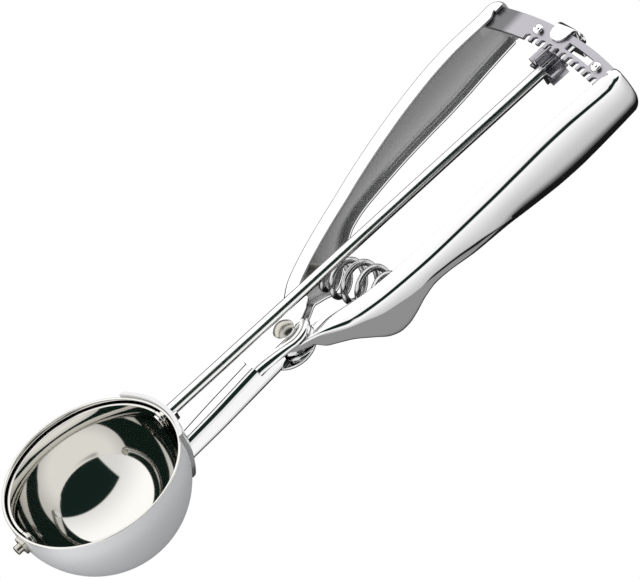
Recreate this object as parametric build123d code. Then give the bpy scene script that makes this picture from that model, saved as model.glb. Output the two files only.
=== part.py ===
from build123d import *
import os
from math import cos, degrees, pi, radians, sin, sqrt

# Squeeze-handle ice cream scoop, in millimetres.
# +Z is up, out of the bowl; +Y runs back along the handles; +X is the moving handle's side.
# The pieces are drawn about the pivot rivet's axis, in the handles' top plane. At the end
# they are all moved so that the origin is under the object's middle, at its lowest point.

# ---- sheet and fits ----
sheet = 1.0                 # thickness of the stamped handles
running_gap = 0.05          # radial clearance of a turning fit
side_gap = 0.2              # clearance between flat pieces that slide past each other
bend_radius = 2.6           # outside radius of the long pressed corners

# ---- handles (plan view; the fixed one is the mirror of the moving one) ----
handle_length = 121.5       # pivot axis to the rear end
handle_half_width = 30.8    # middle plane to the outer face, at the rear
handle_root = 5.8           # middle plane to the outer face, beside the pivot
root_lean = 23.8            # outward pull of the outer curve at the pivot
root_run = 30.7             # and its pull to the rear
tail_pull = 16.8            # pull of the outer curve to the front, at the rear
top_wall_width = 5.2
low_wall_width = 6.3
wall_split = 4.0            # the two widths meet this far below the top plane
rear_corner_radius = 4.0

# ---- handles (side view) ----
pivot_depth = 7.8           # overall height of the fixed handle at the pivot
finger_stop_depth = 19.2    # lowest point of the finger stop
finger_stop_place = 23.2    # its distance behind the pivot
waist_depth = 11.0          # slimmest height, behind the finger stop
waist_place = 43.5
tail_depth = 16.0           # lowest line of the rear half
tail_place = handle_length - 24.5
rear_turn = 5.0             # radius where the underside turns up at the rear end
arch_start = 30.0           # the grip's top is arched from here
arch_knee = 60.0
arch_knee_rise = 1.6
arch_place = 0.75 * handle_length
arch_rise = 2.9             # highest point above the pivot's top plane
tail_level = handle_length - 7.5
tail_rise = 0.8             # level top over the rack

# ---- pivot ----
rivet_radius = 1.9
rivet_head_radius = 3.2
rivet_head_height = 1.5
ear_radius = 7.6            # round plate of the fixed handle, with a rolled rim
rim_depth = 2.3
nose_radius = 6.3           # round end of the moving handle, between the two ears
nose_top = 2.5              # depth of the nose's top face below the handles' top plane
nose_height = 3.6
washer_radius = 4.6

# ---- shank and saddle ----
shank_half_width = 4.4
shank_tip_depth = 5.4       # height of the tube where it meets the bowl
saddle_thickness = 1.2
saddle_half_width = 15.0
saddle_rise = 1.0           # how far the saddle stands above the bowl's rim
saddle_depth = 23.5         # rim to the saddle's lowest point

# ---- bowl and spindle line ----
bowl_radius = 28.0          # outside
bowl_wall = 0.8
bowl_tilt = 6.1             # angle between the rim and the handles' plane, degrees
bowl_distance = 71.05       # pivot axis to the rim's centre, along Y
bowl_height = 17.45         # handles' top plane to the rim's centre
spindle_drop = 3.4          # rim plane to the spindle axis
spindle_radius = 1.9
journal_radius = 1.3        # turned-down ends of the spindle

# ---- wiper ----
wiper_gap = 0.45            # wiper's outer face to the bowl
wiper_thickness = 0.8
wiper_width = 5.6
wiper_rest_angle = 2.5      # below the rim plane at rest, degrees
wiper_eye_radius = 3.0
peen_radius = 2.1
peen_height = 0.7

# ---- front pin ----
pin_radius = 1.45
pin_length = 3.1            # beyond the bowl
collar_width = 4.4
collar_thickness = 1.1

# ---- rear bearing ----
cradle_length = 1.6
cradle_width = 5.6
cradle_depth = 3.0          # spindle axis to the underside

# ---- rack ----
rack_pitch_radius = handle_length - 4.8     # about the pivot axis
rack_inner = rack_pitch_radius - 1.4        # tips of the rack's teeth
rack_root = rack_pitch_radius + 0.7
rack_outer = rack_pitch_radius + 6.5
rack_thickness = 1.2
rack_notch = 2.05           # width of the gap between two rack teeth
rack_notches = 11
rack_left_end = 1.6 - handle_half_width     # left end of the plate, from the middle plane
slot_width = 2.4            # relief slot behind the teeth
slot_circle = rack_pitch_radius + 2.9
slot_from = 5.2
slot_to = 17.6
stud_radius = 2.1
stud_height = 1.5
stud_places = (-7.9, 20.8)  # each side of the guide clip

# ---- pinion, and the spindle's rear end ----
pinion_teeth = 8
pinion_pitch_radius = 4.2
pinion_tip_radius = 5.5
pinion_root_radius = 2.9
pinion_length = 6.5
pinion_rear = (rack_pitch_radius + bowl_distance) / cos(radians(bowl_tilt)) + 0.08
tooth_half_width = 0.55     # pinion tooth at the pitch circle
tail_journal = 4.3          # thinner end that turns in the guide clip
spindle_length = pinion_rear + 10.7         # bowl centre to the spindle's rear tip

# ---- guide clip ----
clip_thickness = 0.8
clip_half_width = 3.4
clip_back = rack_outer + 2.2                # pivot axis to the clip's back face at the top
clip_lean = 1.9             # how far the leg leans forward at its foot
clip_foot = 11.2            # depth of the foot below the handles' top plane
end_washer_radius = 2.6
end_washer_thickness = 0.6

# ---- spring ----
wire_radius = 0.95
coil_end_radius = 3.7       # centre line of the wire at the ends
coil_middle_radius = 6.2
coil_turns = 5.5
spring_left = (-15.6, 21.5)     # where its axis meets the fixed handle
spring_right = (18.6, 31.0)     # and the moving handle
spring_depth = 8.3
stud_seat_radius = 2.6
stud_seat_length = 4.0

far = 400.0                 # larger than the object, for cutting tools

spindle_line = Location((0, -bowl_distance, bowl_height), (-bowl_tilt, 0, 0))


# ---------------------------------------------------------------- helpers

def side_sheet(face, half_width=60):
    """Solid from a face drawn as (distance behind the pivot, height)."""
    return extrude(Plane.YZ * face, amount=half_width, both=True)


def lay(face, low, high):
    """Solid of a plan face between two heights."""
    return Pos(0, 0, low) * extrude(face, amount=high - low)


def disc(radius, low, high, x=0, y=0):
    return Pos(x, y, (low + high) / 2) * Cylinder(radius, high - low)


def block(x0, x1, y0, y1, z0, z1):
    centre = ((x0 + x1) / 2, (y0 + y1) / 2, (z0 + z1) / 2)
    return Pos(*centre) * Box(abs(x1 - x0), abs(y1 - y0), abs(z1 - z0))


def along_spindle(radius, start, end):
    """Cylinder on the spindle axis, between two distances from the bowl's centre."""
    middle = Location((0, (start + end) / 2, -spindle_drop), (90, 0, 0))
    return middle * Cylinder(radius, end - start)


# ---------------------------------------------------------------- handles

def outer_curve():
    root = (handle_root, 0)
    root_handle = (handle_root + root_lean, root_run)
    tail_handle = (handle_half_width, handle_length - tail_pull)
    tail = (handle_half_width, handle_length - rear_corner_radius)
    return Bezier(root, root_handle, tail_handle, tail)


def inset_curve(inset):
    """Outer curve moved in by inset."""
    curve = outer_curve()
    if inset == 0:
        return curve
    points = []
    for step in range(13):
        along = curve % (step / 12)
        points.append(curve @ (step / 12) + Vector(-along.Y, along.X) * inset)
    return Spline(*points, tangents=(curve % 0, curve % 1))


def inside_plan(inset, closed=True):
    """Plan of everything on the inner side of the outer face, moved in by inset."""
    curve = inset_curve(inset)
    start = curve @ 0
    stop = curve @ 1
    if closed:
        corner = rear_corner_radius - inset
        corner_end = (stop.X - corner, stop.Y + corner)
        tail = [
            RadiusArc(stop, corner_end, -corner),
            Line(corner_end, (-far, corner_end[1])),
            Line((-far, corner_end[1]), (-far, -far)),
        ]
    else:
        tail = [
            Line(stop, (stop.X, far)),
            Line((stop.X, far), (-far, far)),
            Line((-far, far), (-far, -far)),
        ]
    front = [Line((-far, -far), (start.X, -far)), Line((start.X, -far), start)]
    return make_face(Wire([curve] + tail + front))


def depth_curves(inset, start_depth):
    """Underside of a handle in side view: down to the finger stop, up to the waist, down again."""
    knots = [
        (4, -start_depth + inset),
        (finger_stop_place, -finger_stop_depth + inset),
        (waist_place, -waist_depth + inset),
        (tail_place, -tail_depth + inset),
    ]
    curves = []
    for (x0, y0), (x1, y1) in zip(knots[:-1], knots[1:]):
        pull = 0.4 * (x1 - x0)
        curves.append(Bezier((x0, y0), (x0 + pull, y0), (x1 - pull, y1), (x1, y1)))
    return curves


def crest(level_to, root_height, rise, inset):
    """Top of a handle in side view: level by the pivot, arched along the grip, level over the rack."""
    points = [
        (level_to, root_height - inset),
        (arch_knee, arch_knee_rise + rise - inset),
        (arch_place, arch_rise + rise - inset),
        (tail_level, tail_rise + rise - inset),
    ]
    return Spline(*points, tangents=((1, 0), (1, 0)))


def fixed_crest(inset):
    return crest(arch_start, 0, 0, inset)


def moving_crest(inset):
    return crest(ear_radius + 4, -nose_top, -side_gap, inset)


def side_profile(inset, top, start_depth):
    """Side view of a handle behind the pivot, with its pressed walls moved in by inset."""
    under = depth_curves(inset, start_depth)
    front = under[0] @ 0
    arch = top(inset)
    back = handle_length + 1 - inset
    turn_start = Vector(back - rear_turn, -tail_depth + inset)
    turn_end = Vector(back, -tail_depth + inset + rear_turn)
    edges = [
        *under,
        Line(under[-1] @ 1, turn_start),
        RadiusArc(turn_start, turn_end, -rear_turn),
        Line(turn_end, (back, (arch @ 1).Y)),
        Line((back, (arch @ 1).Y), arch @ 1),
        arch,
        Line(arch @ 0, (front.X, (arch @ 0).Y)),
        Line((front.X, (arch @ 0).Y), front),
    ]
    return make_face(Wire(edges))


def is_top_edge(edge, rear):
    """True for an edge along the outer face or the rear end, on the top side of a channel."""
    middle = edge @ 0.5
    if middle.Z < -nose_top - sheet - 0.01:
        return False
    if abs(middle.Y - rear) < 0.01:
        return True
    along = edge % 0.5
    return middle.X > handle_root - 2 * sheet and abs(along.Z) < 0.9 and abs(along.X) < 0.9


def round_top(solid, radius):
    """Round the long pressed corner between the top and the outer wall."""
    rear = solid.bounding_box().max.Y
    return fillet([e for e in solid.edges() if is_top_edge(e, rear)], radius)


def channel(top, start_depth):
    """Pressed channel on the +X side: its outer form, its hollow, and the open middle."""
    body = lay(inside_plan(0), -40, 5) & side_sheet(side_profile(0, top, start_depth))
    hollow = lay(inside_plan(sheet), -40, 5)
    hollow = hollow & side_sheet(side_profile(sheet, top, start_depth))
    body = round_top(body, bend_radius)
    hollow = round_top(hollow, bend_radius - sheet)
    opening = lay(inside_plan(top_wall_width, closed=False), -wall_split, 5)
    opening += lay(inside_plan(low_wall_width, closed=False), -40, -wall_split)
    return body, hollow, opening


def pivot_hole(low, high):
    return disc(rivet_radius + running_gap, low, high)


def rack_window():
    """Way through the fixed handle's back wall for the end of the rack."""
    gap = 2 * side_gap
    ring = disc(rack_outer + gap, rack_top() - rack_thickness - gap, rack_top() + side_gap)
    ring -= disc(rack_inner - gap, -far, far)
    return ring & block(-far, rack_left_end + 4, 0, far, -far, far)


def tapered_bar(inset, back):
    """Bar from the bowl to the pivot, with round long edges and walls moved in by inset."""
    side = Polyline(
        (-bowl_distance, -inset),
        (back, -inset),
        (back, inset - pivot_depth),
        (-bowl_distance, inset - shank_tip_depth),
        close=True,
    )
    bar = side_sheet(make_face(side), shank_half_width - inset)
    return fillet([e for e in bar.edges() if abs((e % 0.5).Y) > 0.9], bend_radius - inset)


def bowl_form(radius, top, inner_radius=0):
    """Solid of revolution of the bowl's side: hemisphere and a short upright wall."""
    low = -spindle_drop
    outline = [
        CenterArc((0, low), radius, -90, 90),
        Line((radius, low), (radius, top)),
        Line((radius, top), (inner_radius, top)),
    ]
    if inner_radius > 0:
        outline.append(Line((inner_radius, top), (inner_radius, low)))
        outline.append(CenterArc((0, low), inner_radius, -90, 90))
    outline.append(Line((0, low - inner_radius if inner_radius > 0 else top), (0, low - radius)))
    return revolve(Plane.XZ * make_face(Wire(outline)), Axis.Z)


def saddle():
    """Plate that wraps the back of the bowl, drawn as a shield and bent to the bowl."""
    wrap = bowl_form(bowl_radius + saddle_thickness, saddle_rise, bowl_radius)
    shield = Rectangle(2 * saddle_half_width, saddle_rise + saddle_depth)
    shield = Pos(0, (saddle_rise - saddle_depth) / 2) * shield
    shield = fillet(shield.vertices().sort_by(Axis.Y)[:2], saddle_half_width - 2)
    cutter = extrude(Plane.XZ * shield, amount=-far / 2)
    return wrap & cutter


def fixed_handle():
    """One pressing: left handle, pivot ears, shank and the saddle on the bowl."""
    body, hollow, opening = channel(fixed_crest, pivot_depth)
    shell = mirror(body - hollow - opening, Plane.YZ)
    shell -= rack_window()
    tube = tapered_bar(0, 0)
    tube_hollow = tapered_bar(sheet, 1)
    ear = disc(ear_radius, -pivot_depth, 0)
    ear = fillet(ear.edges().filter_by(lambda e: e.center().Z > -0.01), rim_depth - 0.3)
    ear_hollow = disc(ear_radius - sheet, sheet - pivot_depth, -sheet)
    ear_hollow += block(-ear_radius + 2, handle_root + 1, 0, ear_radius + 2, sheet - pivot_depth, -sheet)
    way_in = block(-2, far, 2 * sheet - ear_radius - nose_radius / 2, far, sheet - pivot_depth, -rim_depth)
    bowl_space = spindle_line * bowl_form(bowl_radius, 20)
    frame = shell + tube + ear + spindle_line * saddle()
    frame -= tube_hollow + ear_hollow + way_in + bowl_space
    frame -= mirror(hollow & block(-far, far, ear_radius, far, -far, far), Plane.YZ)
    frame -= pivot_hole(-pivot_depth - 1, 1)
    frame -= spindle_line * along_spindle(spindle_radius + running_gap, 0, spindle_length)
    return frame


def moving_handle():
    """Right handle: a deep channel whose round nose turns between the ears."""
    body, hollow, opening = channel(moving_crest, nose_top + nose_height)
    nose_low = -nose_top - nose_height
    shell = body - hollow - opening
    nose = disc(nose_radius, nose_low, -nose_top)
    nose_hollow = disc(nose_radius - sheet, nose_low + sheet, -nose_top - sheet)
    open_side = block(-far, 1.5, -far, far, nose_low + sheet, -nose_top - sheet)
    handle = shell + nose - nose_hollow - open_side
    handle -= hollow
    return handle - pivot_hole(nose_low - 1, 1)


# ---------------------------------------------------------------- pivot pieces

def pivot_rivet():
    shaft = disc(rivet_radius, -pivot_depth, 0)
    dome_radius = (rivet_head_radius ** 2 + rivet_head_height ** 2) / (2 * rivet_head_height)
    dome = Pos(0, 0, rivet_head_height - dome_radius) * Sphere(dome_radius)
    dome &= disc(rivet_head_radius, 0, rivet_head_height)
    foot = disc(rivet_head_radius, -pivot_depth - 0.9, -pivot_depth)
    return shaft + dome + foot


def pivot_washers():
    slack = side_gap / 4
    upper = disc(washer_radius, -nose_top + slack, -sheet - slack)
    nose_low = -nose_top - nose_height
    lower = disc(washer_radius, sheet - pivot_depth + slack, nose_low - slack)
    bore = pivot_hole(-pivot_depth, 0)
    return Compound(children=[upper - bore, lower - bore])


# ---------------------------------------------------------------- bowl and spindle pieces

def bowl():
    shell = bowl_form(bowl_radius, 0, bowl_radius - bowl_wall)
    shell -= along_spindle(spindle_radius + running_gap, 0, far)
    shell -= along_spindle(pin_radius + running_gap, -far, 0)
    return spindle_line * shell


def rear_bearing():
    """Cradle under the spindle, fixed to the back of the saddle."""
    start = bowl_radius
    stop = bowl_radius + saddle_thickness + cradle_length
    low = -spindle_drop - cradle_depth
    cradle = block(-cradle_width / 2, cradle_width / 2, start, stop, low, -spindle_drop + 0.4)
    cradle -= bowl_form(bowl_radius + saddle_thickness, 5)
    cradle -= along_spindle(spindle_radius + running_gap, 0, far)
    return spindle_line * cradle


def wiper_reach():
    return bowl_radius - bowl_wall - wiper_gap


def wiper():
    """Half-round blade with an eye at each end, drawn lying in the spindle's plane."""
    reach = wiper_reach()
    half = wiper_width / 2
    outer = sqrt(reach ** 2 - half ** 2)
    inner = outer - wiper_thickness
    ring = disc(outer, -half, half) - disc(inner, -half - 1, half + 1)
    blade = ring & block(-far, 0, -far, far, -far, far)
    for side in (-1, 1):
        middle = Location((0, side * (outer + inner) / 2, 0), (90, 0, 0))
        blade += middle * Cylinder(wiper_eye_radius, wiper_thickness)
    blade -= Location((0, 0, 0), (90, 0, 0)) * Cylinder(journal_radius + running_gap / 2, far)
    turn = Location((0, 0, -spindle_drop), (0, -wiper_rest_angle, 0))
    return spindle_line * turn * blade


def eye_faces():
    """Distances from the bowl's centre to the inner and outer face of the wiper's eyes."""
    outer = sqrt(wiper_reach() ** 2 - (wiper_width / 2) ** 2)
    inner = sqrt((outer - wiper_thickness) ** 2 - peen_radius ** 2)
    return inner, outer


def spindle():
    inner, outer = eye_faces()
    slack = running_gap
    rod = along_spindle(spindle_radius, outer + slack, spindle_length - tail_journal)
    rod += along_spindle(journal_radius, inner - slack, outer + slack)
    rod += along_spindle(peen_radius, inner - slack - peen_height, inner - slack)
    rod += along_spindle(journal_radius, spindle_length - tail_journal, spindle_length)
    return spindle_line * rod


def front_pin():
    inner, outer = eye_faces()
    slack = running_gap
    tip = bowl_radius + pin_length
    pin = along_spindle(pin_radius, -tip, -outer - slack)
    pin += along_spindle(journal_radius, -outer - slack, -inner + slack)
    pin += along_spindle(peen_radius, -inner + slack, -inner + slack + peen_height)
    return spindle_line * pin


def front_collar():
    half = collar_width / 2
    start = bowl_radius + collar_thickness
    plate = block(-half, half, -start, 0, -spindle_drop - half, -spindle_drop + half)
    plate = fillet(plate.edges().filter_by(Axis.Y), 0.5)
    plate -= bowl_form(bowl_radius, 5)
    plate = plate & block(-far, far, -far, -bowl_radius / 2, -far, far)
    plate -= along_spindle(pin_radius + running_gap, -far, 0)
    return spindle_line * plate


def pinion():
    """Star gear: round root with straight-sided teeth that narrow to the tip."""
    root_half = tooth_half_width * 1.35
    tip_half = tooth_half_width * 0.6
    tooth = make_face(Polyline(
        (-root_half, pinion_root_radius - 0.5),
        (-tip_half, pinion_tip_radius),
        (tip_half, pinion_tip_radius),
        (root_half, pinion_root_radius - 0.5),
        close=True,
    ))
    outline = Circle(pinion_root_radius)
    for index in range(pinion_teeth):
        outline += Rot(0, 0, index * 360 / pinion_teeth) * tooth
    outline -= Circle(spindle_radius)
    star = extrude(outline, amount=pinion_length)
    return spindle_line * (Location((0, pinion_rear, -spindle_drop), (90, 0, 0)) * star)


def end_washer():
    start = spindle_length - end_washer_thickness - 0.7
    ring = along_spindle(end_washer_radius, start, start + end_washer_thickness)
    ring -= along_spindle(journal_radius + running_gap, start - 1, start + 2)
    return spindle_line * ring


# ---------------------------------------------------------------- rack and clip

def rack_top():
    return tail_rise - side_gap - sheet


def rack_pitch_angle():
    """Angle that the moving handle turns while the pinion turns one tooth, degrees."""
    return 360 / pinion_teeth * pinion_pitch_radius / rack_pitch_radius


def rack_plate():
    """Toothed arc plate, spot-welded under the moving handle's top wall."""
    top = rack_top()
    plate = disc(rack_outer, top - rack_thickness, top) - disc(rack_inner, -far, far)
    plate &= block(rack_left_end, far, 0, far, -far, far)
    open_middle = block(-far, handle_half_width - top_wall_width, 0, far, -far, far)
    plate &= lay(inside_plan(bend_radius), -far, far) + open_middle
    step = rack_pitch_angle()
    for index in range(-3, rack_notches - 3):
        notch = block(-rack_notch / 2, rack_notch / 2, rack_inner - 2, rack_root, -far, far)
        notch = fillet(notch.edges().filter_by(Axis.Z).sort_by(Axis.Y)[-2:], rack_notch * 0.3)
        plate -= Rot(0, 0, -index * step) * notch
    slot_start = degrees(slot_from / slot_circle)
    slot_end = degrees(slot_to / slot_circle)
    arc = CenterArc((0, 0), slot_circle, 90 - slot_end, slot_end - slot_start)
    plate -= lay(SlotArc(arc, slot_width), -10, 0)
    return plate


def stud_places_on_rack():
    return [(x, sqrt(slot_circle ** 2 - x ** 2)) for x in stud_places]


def stop_studs():
    top = rack_top()
    studs = []
    for x, y in stud_places_on_rack():
        stud = disc(stud_radius, top, top + stud_height, x, y)
        studs.append(stud)
    return Compound(children=studs)


def guide_clip():
    """Hairpin: a leg hung on the spindle's tail and a tongue that lies over the rack."""
    top = rack_top() + side_gap + clip_thickness
    low = -clip_foot
    pinion_top = spindle_line * Pos(0, pinion_rear, pinion_tip_radius - spindle_drop)
    tip = pinion_top.position.Y + side_gap
    path = FilletPolyline(
        (tip + clip_thickness / 2, top - clip_thickness / 2),
        (clip_back - clip_thickness / 2, top - clip_thickness / 2),
        (clip_back - clip_thickness / 2 - clip_lean, low),
        radius=1.2,
    )
    outline = offset(path, clip_thickness / 2, side=Side.BOTH)
    clip = extrude(Plane.YZ * make_face(outline), amount=clip_half_width, both=True)
    plan = Pos(0, tip + 20) * Rectangle(2 * clip_half_width, 40)
    plan = fillet(plan.vertices().sort_by(Axis.Y)[:2], clip_half_width - 0.3)
    clip = clip & lay(plan, -20, 5)
    hole = spindle_line * along_spindle(journal_radius + running_gap, 150, spindle_length + 5)
    return clip - hole


# ---------------------------------------------------------------- spring

def spring_axis():
    start = Vector(*spring_left, -spring_depth)
    stop = Vector(*spring_right, -spring_depth)
    return start, stop


def coil_spring():
    """Barrel-shaped compression spring."""
    start, stop = spring_axis()
    axis = stop - start
    margin = wire_radius + sheet + 1.6
    length = axis.length - 2 * margin
    points = []
    steps = int(coil_turns * 12)
    for step in range(steps + 1):
        share = step / steps
        angle = 2 * pi * coil_turns * share
        swell = coil_end_radius + (coil_middle_radius - coil_end_radius) * sin(pi * share)
        along = margin + length * (share - 0.04 * sin(2 * pi * share))
        points.append((swell * cos(angle), swell * sin(angle), along))
    path = Polyline(*points)
    section = Plane(origin=path @ 0, z_dir=path % 0) * Circle(wire_radius)
    wire = sweep(section, path=path, transition=Transition.RIGHT)
    return Plane(origin=start, z_dir=axis) * wire


def spring_stud(handle, place, other):
    """Short stud that carries one end of the spring, seated on the handle's back wall."""
    start = Vector(*place, -spring_depth)
    direction = (Vector(*other, -spring_depth) - start).normalized()
    stud = Plane(origin=start - direction * 3, z_dir=direction) * Cylinder(
        stud_seat_radius, stud_seat_length + 3, align=(Align.CENTER, Align.CENTER, Align.MIN))
    pieces = (stud - handle).solids()
    return max(pieces, key=lambda piece: (piece.center() - start).dot(direction))


# ---------------------------------------------------------------- write

def all_pieces():
    left = fixed_handle()
    right = moving_handle()
    return {
        "fixed_handle": left,
        "moving_handle": right,
        "pivot_rivet": pivot_rivet(),
        "pivot_washers": pivot_washers(),
        "bowl": bowl(),
        "rear_bearing": rear_bearing(),
        "wiper_blade": wiper(),
        "spindle_rod": spindle(),
        "front_pin": front_pin(),
        "front_collar": front_collar(),
        "pinion": pinion(),
        "end_washer": end_washer(),
        "rack_plate": rack_plate(),
        "stop_studs": stop_studs(),
        "guide_clip": guide_clip(),
        "coil_spring": coil_spring(),
        "spring_stud_fixed": spring_stud(left, spring_left, spring_right),
        "spring_stud_moving": spring_stud(right, spring_right, spring_left),
    }


def onto_floor(shapes):
    """Move that puts the origin under the middle of the object, at its lowest point."""
    boxes = [shape.bounding_box() for shape in shapes]
    front = min(box.min.Y for box in boxes)
    back = max(box.max.Y for box in boxes)
    low = min(box.min.Z for box in boxes)
    return Pos(0, -(front + back) / 2, -low)


if __name__ == "__main__":
    os.makedirs("parts", exist_ok=True)
    pieces = all_pieces()
    move = onto_floor(pieces.values())
    print("moved by", move.position)
    for name, shape in pieces.items():
        export_step(move * shape, "parts/" + name + ".step")
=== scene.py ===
from math import cos, pi, radians, sin, sqrt

import bmesh
import bpy
import numpy as np
from mathutils import Matrix, Vector


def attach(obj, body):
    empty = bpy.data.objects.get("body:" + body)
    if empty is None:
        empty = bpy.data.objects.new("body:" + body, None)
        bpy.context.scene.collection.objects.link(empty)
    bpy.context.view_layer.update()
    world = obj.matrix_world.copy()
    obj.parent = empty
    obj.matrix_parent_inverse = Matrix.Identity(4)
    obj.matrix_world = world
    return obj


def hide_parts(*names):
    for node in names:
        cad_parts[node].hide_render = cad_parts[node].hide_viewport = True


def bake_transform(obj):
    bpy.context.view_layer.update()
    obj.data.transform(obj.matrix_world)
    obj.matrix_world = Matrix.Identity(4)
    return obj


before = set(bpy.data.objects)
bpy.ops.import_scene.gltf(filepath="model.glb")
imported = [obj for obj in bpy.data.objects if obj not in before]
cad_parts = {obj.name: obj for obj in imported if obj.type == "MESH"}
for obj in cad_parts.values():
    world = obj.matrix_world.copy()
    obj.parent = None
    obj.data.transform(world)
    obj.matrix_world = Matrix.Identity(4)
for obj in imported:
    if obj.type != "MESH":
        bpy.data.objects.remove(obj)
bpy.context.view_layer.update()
print("stage: frame loaded")

mm = 0.001
pivotPlace = np.array([0.0, -12.3533, 19.2])  # pivot axis in the handles' top plane, row frame, mm
rimPlace = np.array([0.0, -71.05, 17.45])  # bowl's rim centre, from the pivot
rimTilt = radians(-6.1)
spindleDrop = 3.4  # spindle's axis below the rim
sharpAngle = radians(40)  # steeper edges stay hard


# points and meshes

def toRow(points):
    return (np.asarray(points, float) + pivotPlace) * mm


def inBowl(points):
    p = np.asarray(points, float)
    y = p[..., 1] * cos(rimTilt) - p[..., 2] * sin(rimTilt)
    z = p[..., 1] * sin(rimTilt) + p[..., 2] * cos(rimTilt)
    return np.stack([p[..., 0], y, z], -1) + rimPlace


def onSpindle(points):
    p = np.asarray(points, float)
    return inBowl(np.stack([p[..., 0], p[..., 2], p[..., 1] - spindleDrop], -1))


def alongSpindle(distance):
    return lambda points: onSpindle(points + np.array([0, 0, distance]))


def smoothStep(low, high, value):
    t = np.clip((np.asarray(value, float) - low) / (high - low), 0, 1)
    return t * t * (3 - 2 * t)


def cleanMesh(mesh, merge=1e-7):
    work = bmesh.new()
    work.from_mesh(mesh)
    bmesh.ops.remove_doubles(work, verts=work.verts, dist=merge)
    bmesh.ops.dissolve_degenerate(work, edges=work.edges, dist=merge)
    bmesh.ops.recalc_face_normals(work, faces=work.faces)
    work.to_mesh(mesh)
    work.free()
    return mesh


def ringsMesh(name, rings, loop=False, inside=None):
    rings = np.asarray(rings, float)
    count, size = rings.shape[:2]
    faces = []
    for i in range(count if loop else count - 1):
        a, b = i * size, ((i + 1) % count) * size
        for j in range(size):
            k = (j + 1) % size
            faces.append((a + j, a + k, b + k, b + j))
    if not loop:
        faces.append(tuple(range(size))[::-1])
        faces.append(tuple(range((count - 1) * size, count * size)))
    mesh = bpy.data.meshes.new(name)
    mesh.from_pydata([tuple(v) for v in rings.reshape(-1, 3)], [], faces)
    marks = mesh.attributes.new("inside", "FLOAT", "POINT")
    marks.data.foreach_set("value", np.zeros(len(mesh.vertices)) if inside is None else inside)
    return cleanMesh(mesh)


def latheMesh(name, profile, segments, place, inside=None):
    angles = np.linspace(0, 2 * pi, segments, endpoint=False)
    profile = np.asarray(profile, float)
    rings = [
        np.stack([profile[:, 0] * cos(a), profile[:, 0] * sin(a), profile[:, 1]], -1)
        for a in angles
    ]
    marks = None if inside is None else np.tile(inside, segments)
    return ringsMesh(name, toRow(place(np.asarray(rings))), loop=True, inside=marks)


def plateMesh(name, outlines, thickness, bevel, place, rounds=2):
    curve = bpy.data.curves.new(name, "CURVE")
    curve.dimensions = "2D"
    curve.fill_mode = "BOTH"
    curve.extrude = thickness / 2 - bevel
    curve.bevel_depth = bevel
    curve.bevel_resolution = rounds
    curve.offset = -bevel
    for outline in outlines:
        spline = curve.splines.new("POLY")
        spline.points.add(len(outline) - 1)
        for point, (x, y) in zip(spline.points, outline):
            point.co = (x, y, 0, 1)
        spline.use_cyclic_u = True
    holder = bpy.data.objects.new(name, curve)
    bpy.context.scene.collection.objects.link(holder)
    depsgraph = bpy.context.evaluated_depsgraph_get()
    mesh = bpy.data.meshes.new_from_object(holder.evaluated_get(depsgraph))
    bpy.data.objects.remove(holder)
    points = toRow(place(np.array([v.co[:] for v in mesh.vertices])))
    mesh.vertices.foreach_set("co", points.astype(np.float32).ravel())
    mesh.update()
    return cleanMesh(mesh, 2e-6)


def mirrorMesh(mesh):
    mesh.transform(Matrix.Scale(-1, 4, (1, 0, 0)))
    mesh.flip_normals()
    return mesh


def shifted(x, y, z):
    return lambda points: points + np.array([x, y, z])


def makePiece(name, meshes, material, body, nodes):
    work = bmesh.new()
    for mesh in meshes:
        work.from_mesh(mesh)
    merged = bpy.data.meshes.new(name)
    work.to_mesh(merged)
    work.free()
    merged.polygons.foreach_set("use_smooth", [True] * len(merged.polygons))
    merged.set_sharp_from_angle(angle=sharpAngle)
    merged.materials.append(material)
    piece = bpy.data.objects.new(name, merged)
    bpy.context.scene.collection.objects.link(piece)
    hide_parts(*nodes)
    if body:
        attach(piece, body)
    print("stage:", name, len(merged.polygons))
    return piece


def arc(centre, radius, start, stop, count):
    angles = np.radians(np.linspace(start, stop, count))
    return [(centre[0] + radius * cos(a), centre[1] + radius * sin(a)) for a in angles]


def softBox(left, right, low, top, soft, count):
    points = []
    for turn, corner in enumerate(((right, top), (left, top), (left, low), (right, low))):
        points += arc(corner, soft, 90 * turn, 90 * turn + 90, count)
    return points


# shader building

class Signal:
    tree = None

    def __init__(self, socket):
        self.socket = socket

    @classmethod
    def node(cls, kind, inputs=None, output=0, **settings):
        made = cls.tree.nodes.new(kind)
        for key, value in settings.items():
            setattr(made, key, value)
        for key, value in (inputs or {}).items():
            if isinstance(value, Signal):
                cls.tree.links.new(value.socket, made.inputs[key])
            else:
                made.inputs[key].default_value = value
        return cls(made.outputs[output])

    def split(self):
        made = Signal.tree.nodes.new("ShaderNodeSeparateXYZ")
        Signal.tree.links.new(self.socket, made.inputs[0])
        return [Signal(socket) for socket in made.outputs]

    def combine(self, kind, other, swapped=False):
        pair = {0: other, 1: self} if swapped else {0: self, 1: other}
        return Signal.node("ShaderNodeMath", pair, operation=kind)

    def __add__(self, other):
        return self.combine("ADD", other)

    def __sub__(self, other):
        return self.combine("SUBTRACT", other)

    def __rsub__(self, other):
        return self.combine("SUBTRACT", other, True)

    def __mul__(self, other):
        return self.combine("MULTIPLY", other)

    def ramp(self, low, high, start=0.0, stop=1.0):
        return Signal.node(
            "ShaderNodeMapRange",
            {"Value": self, "From Min": low, "From Max": high, "To Min": start, "To Max": stop},
            interpolation_type="SMOOTHSTEP",
        )


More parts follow.
